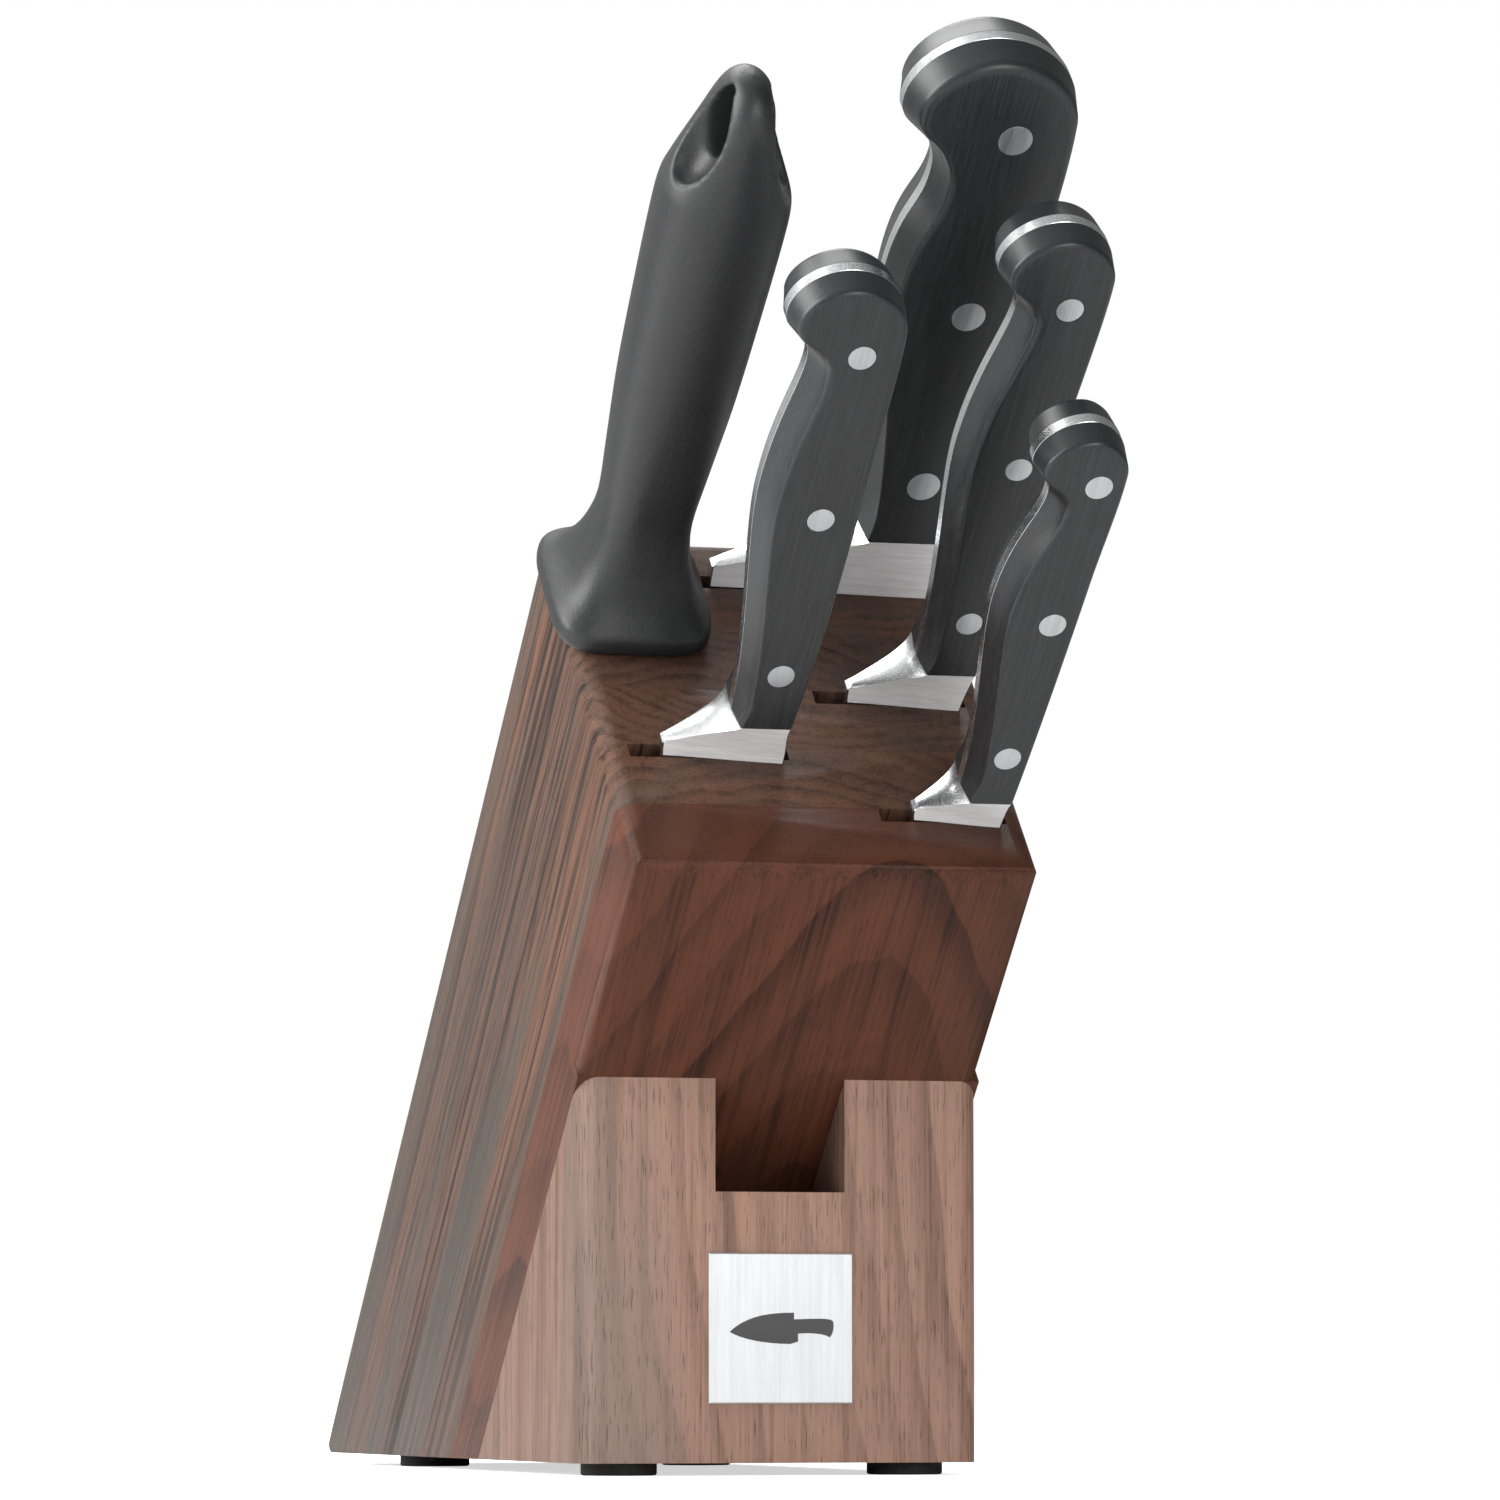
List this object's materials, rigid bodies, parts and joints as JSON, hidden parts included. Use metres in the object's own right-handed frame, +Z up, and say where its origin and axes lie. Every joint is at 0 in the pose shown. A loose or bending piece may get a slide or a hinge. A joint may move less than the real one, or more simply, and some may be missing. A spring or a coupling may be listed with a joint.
{
  "type": "knife block with knives",
  "caption": "Slanted laminated walnut block on rubber feet, holding riveted forged kitchen knives and a sharpening steel that each slide out, with a pocket for shears in front.",
  "frame": {"origin": "on the floor, at the middle of the whole object's footprint", "axes": "+X to the right seen from the shears pocket, +Y from the pocket to the tail of the block, +Z up; the slots lean 46 degrees from upright, their mouths towards -Y"},
  "size_m": [0.0878, 0.328, 0.2839],
  "materials": {
    "walnut": "oiled walnut, satin, grain along the boards",
    "walnut_support": "oiled walnut, satin, upright grain, lighter than the boards",
    "plate_steel": "stainless steel, brushed upright, blank",
    "foot_rubber": "matte black rubber",
    "forged_steel": "forged stainless steel, fine brushed faces, polished tang edges",
    "scale_black": "black plastic, satin, finely brushed along the handle",
    "rivet_steel": "stainless steel, ground flush with the scales",
    "rod_steel": "hard-chromed steel with fine ridges along the rod",
    "handle_plastic": "black moulded plastic with a fine sparkly grain"
  },
  "bodies": {
    "block": {"front_board": "walnut", "second_board": "walnut", "third_board": "walnut", "fourth_board": "walnut", "fifth_board": "walnut", "back_board": "walnut", "support": "walnut_support", "name_plate": "plate_steel", "front_left_foot": "foot_rubber", "front_right_foot": "foot_rubber", "rear_left_foot": "foot_rubber", "rear_right_foot": "foot_rubber"},
    "paring_knife": {"paring_blade": "forged_steel", "paring_front_scale": "scale_black", "paring_back_scale": "scale_black", "paring_rivets": "rivet_steel"},
    "utility_knife": {"utility_blade": "forged_steel", "utility_front_scale": "scale_black", "utility_back_scale": "scale_black", "utility_rivets": "rivet_steel"},
    "carving_knife": {"carving_blade": "forged_steel", "carving_front_scale": "scale_black", "carving_back_scale": "scale_black", "carving_rivets": "rivet_steel"},
    "chef_knife": {"chef_blade": "forged_steel", "chef_front_scale": "scale_black", "chef_back_scale": "scale_black", "chef_rivets": "rivet_steel"},
    "sharpening_steel": {"steel_rod": "rod_steel", "steel_handle": "handle_plastic"}
  },
  "joints": [
    {"name": "paring_draw", "type": "slide", "parent": "block", "child": "paring_knife", "axis": [0, -0.7193, 0.6947], "range_m": [0, 0.11]},
    {"name": "utility_draw", "type": "slide", "parent": "block", "child": "utility_knife", "axis": [0, -0.7193, 0.6947], "range_m": [0, 0.15]},
    {"name": "carving_draw", "type": "slide", "parent": "block", "child": "carving_knife", "axis": [0, -0.7193, 0.6947], "range_m": [0, 0.19]},
    {"name": "chef_draw", "type": "slide", "parent": "block", "child": "chef_knife", "axis": [0, -0.7193, 0.6947], "range_m": [0, 0.21]},
    {"name": "steel_draw", "type": "slide", "parent": "block", "child": "sharpening_steel", "axis": [0, -0.7193, 0.6947], "range_m": [0, 0.215]}
  ]
}
